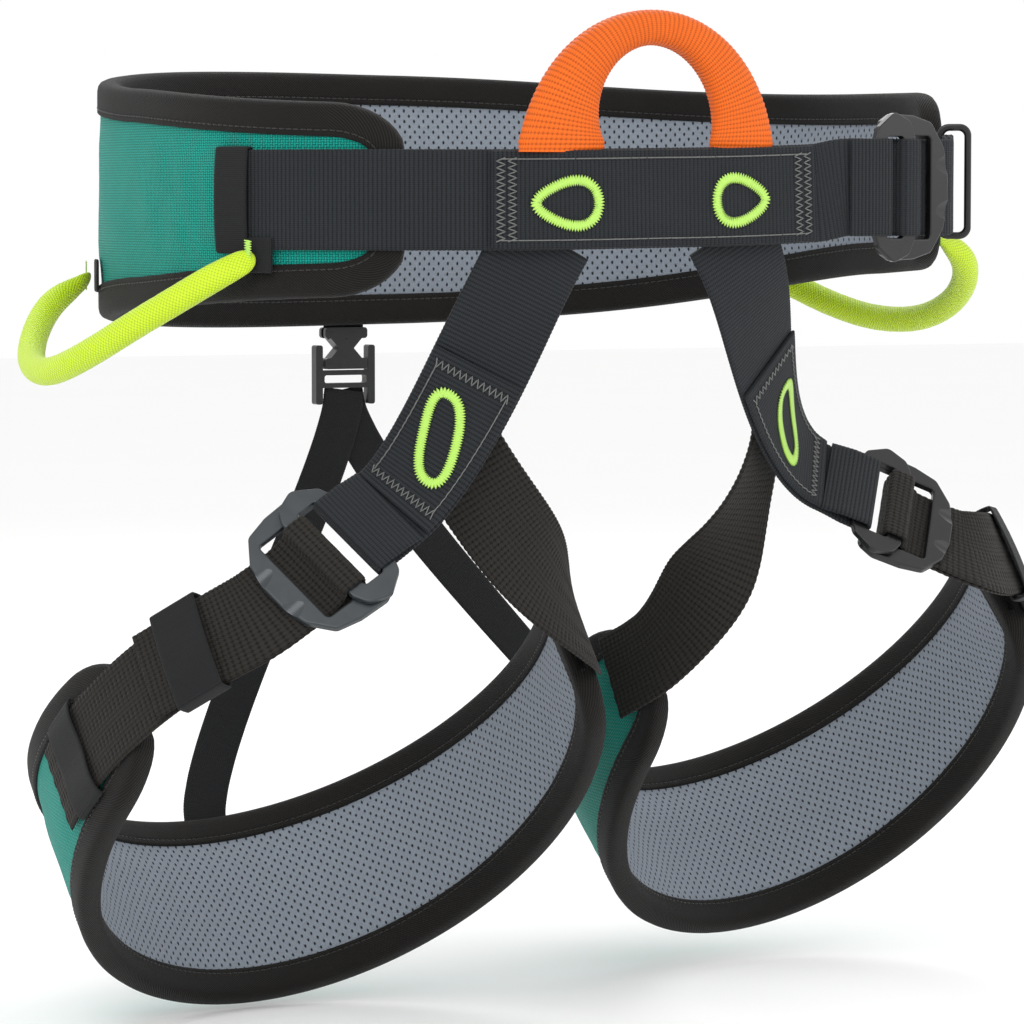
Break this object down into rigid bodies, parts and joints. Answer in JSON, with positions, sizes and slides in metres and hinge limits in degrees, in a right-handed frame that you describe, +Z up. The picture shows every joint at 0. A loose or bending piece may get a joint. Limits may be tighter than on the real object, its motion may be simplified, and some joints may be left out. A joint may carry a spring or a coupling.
{
  "type": "climbing harness",
  "caption": "Adjustable sit harness: padded waist belt and leg loops, tie-in loop, ribbed webbing risers, two-plate buckles, gear loops and rear elastics.",
  "frame": {"origin": "centre of the waist opening at the mid height of the waist webbing", "axes": "+Z up along the wearer's body, -Y is the wearer's front, +X is the wearer's left"},
  "size_m": [0.4769, 0.3159, 0.4265],
  "materials": {
    "face_cloth": "plain-woven canvas",
    "foam": "closed-cell foam",
    "lining_mesh": "spacer mesh",
    "binding": "twill tape",
    "webbing": "ribbed polyester webbing",
    "leg_webbing": "coarse polyamide webbing",
    "tape": "fine tape",
    "elastic": "knitted elastic",
    "tie_in_webbing": "tubular webbing",
    "gear_tube": "braided tube",
    "buckle_grey": "anodised",
    "buckle_black": "satin black",
    "black_plastic": "moulded"
  },
  "bodies": {
    "waist": {"front_panel": "webbing", "gear_tab_left_front": "tape", "gear_tab_left_rear": "tape", "gear_tab_right_front": "tape", "gear_tab_right_rear": "tape", "rear_hanger": "tape", "rear_socket": "black_plastic", "side_keeper": "tape", "waist_binding": "binding", "waist_buckle_plate": "buckle_black", "waist_face": "face_cloth", "waist_foam": "foam", "waist_lining": "lining_mesh", "waist_strap": "webbing", "waist_webbing": "webbing"},
    "gear_loop_left": {"gear_loop_left": "gear_tube"},
    "gear_loop_right": {"gear_loop_right": "gear_tube"},
    "left_buckle_frame": {"left_buckle_frame": "buckle_grey"},
    "left_leg": {"left_buckle_plate": "buckle_grey", "left_inner_strap": "leg_webbing", "left_pad_binding": "binding", "left_pad_face": "face_cloth", "left_pad_foam": "foam", "left_pad_keeper": "tape", "left_pad_lining": "lining_mesh", "left_rear_elastic": "elastic", "left_riser": "webbing", "left_riser_doubler": "webbing", "left_strap": "leg_webbing"},
    "left_tail_keeper": {"left_tail_keeper": "tape"},
    "rear_plug": {"rear_plug": "black_plastic"},
    "right_buckle_frame": {"right_buckle_frame": "buckle_black"},
    "right_leg": {"right_buckle_plate": "buckle_black", "right_inner_strap": "leg_webbing", "right_pad_binding": "binding", "right_pad_face": "face_cloth", "right_pad_foam": "foam", "right_pad_keeper": "tape", "right_pad_lining": "lining_mesh", "right_rear_elastic": "elastic", "right_riser": "webbing", "right_riser_doubler": "webbing", "right_strap": "leg_webbing"},
    "right_tail_keeper": {"right_tail_keeper": "tape"},
    "tie_in_loop": {"tie_in_loop": "tie_in_webbing"},
    "waist_buckle_frame": {"waist_buckle_frame": "buckle_black"},
    "waist_slider": {"waist_slider": "buckle_black"}
  },
  "joints": [
    {"name": "tie_in_swing", "type": "hinge", "parent": "waist", "child": "tie_in_loop", "pos_m": [-0.01259, -0.14979, 0.0253], "axis": [1, 0, 0], "range_deg": [-15, 80], "stiffness_Nm_per_rad": 0.02},
    {"name": "gear_loop_left_swing", "type": "hinge", "parent": "waist", "child": "gear_loop_left", "pos_m": [-0.17248, -0.01842, -0.027], "axis": [-0.123, 0.9903, -0.0647], "range_deg": [0, 22]},
    {"name": "gear_loop_right_swing", "type": "hinge", "parent": "waist", "child": "gear_loop_right", "pos_m": [0.17352, 0.02404, -0.02203], "axis": [0.1319, -0.985, 0.1111], "range_deg": [0, 22]},
    {"name": "slider_slide", "type": "slide", "parent": "waist", "child": "waist_slider", "axis": [0.5047, 0.8633, 0], "range_m": [-0.003, 0.001]},
    {"name": "waist_buckle_tilt", "type": "hinge", "parent": "waist", "child": "waist_buckle_frame", "pos_m": [0.1156, -0.13309, 0.0051], "axis": [0, 0, -1], "range_deg": [0, 18]},
    {"name": "rear_plug_slide", "type": "slide", "parent": "waist", "child": "rear_plug", "axis": [0, 0, -1], "range_m": [0, 0.02]},
    {"name": "left_leg_swing", "type": "hinge", "parent": "waist", "child": "left_leg", "pos_m": [-0.06156, -0.14355, -0.02245], "axis": [-1, 0, 0], "range_deg": [-1, 28], "stiffness_Nm_per_rad": 1.5, "springref_deg": -6.82, "deforming": ["left_rear_elastic"]},
    {"name": "left_buckle_tilt", "type": "hinge", "parent": "left_leg", "child": "left_buckle_frame", "pos_m": [-0.14769, -0.12561, -0.1429], "axis": [-0.4297, 0.6491, 0.6277], "range_deg": [0, 18]},
    {"name": "left_tail_keeper_slide", "type": "slide", "parent": "left_leg", "child": "left_tail_keeper", "axis": [-0.5872, 0.6372, -0.4992], "range_m": [-0.0015, 0.0015]},
    {"name": "right_leg_swing", "type": "hinge", "parent": "waist", "child": "right_leg", "pos_m": [0.02716, -0.14735, -0.02102], "axis": [-1, 0, 0], "range_deg": [-1, 28], "stiffness_Nm_per_rad": 1.5, "springref_deg": -8.37, "deforming": ["right_rear_elastic"]},
    {"name": "right_buckle_tilt", "type": "hinge", "parent": "right_leg", "child": "right_buckle_frame", "pos_m": [0.13982, -0.08717, -0.13332], "axis": [-0.4605, -0.6051, -0.6494], "range_deg": [0, 18]},
    {"name": "right_tail_keeper_slide", "type": "slide", "parent": "right_leg", "child": "right_tail_keeper", "axis": [0.617, 0.7807, -0.0993], "range_m": [-0.0015, 0.0015]}
  ]
}
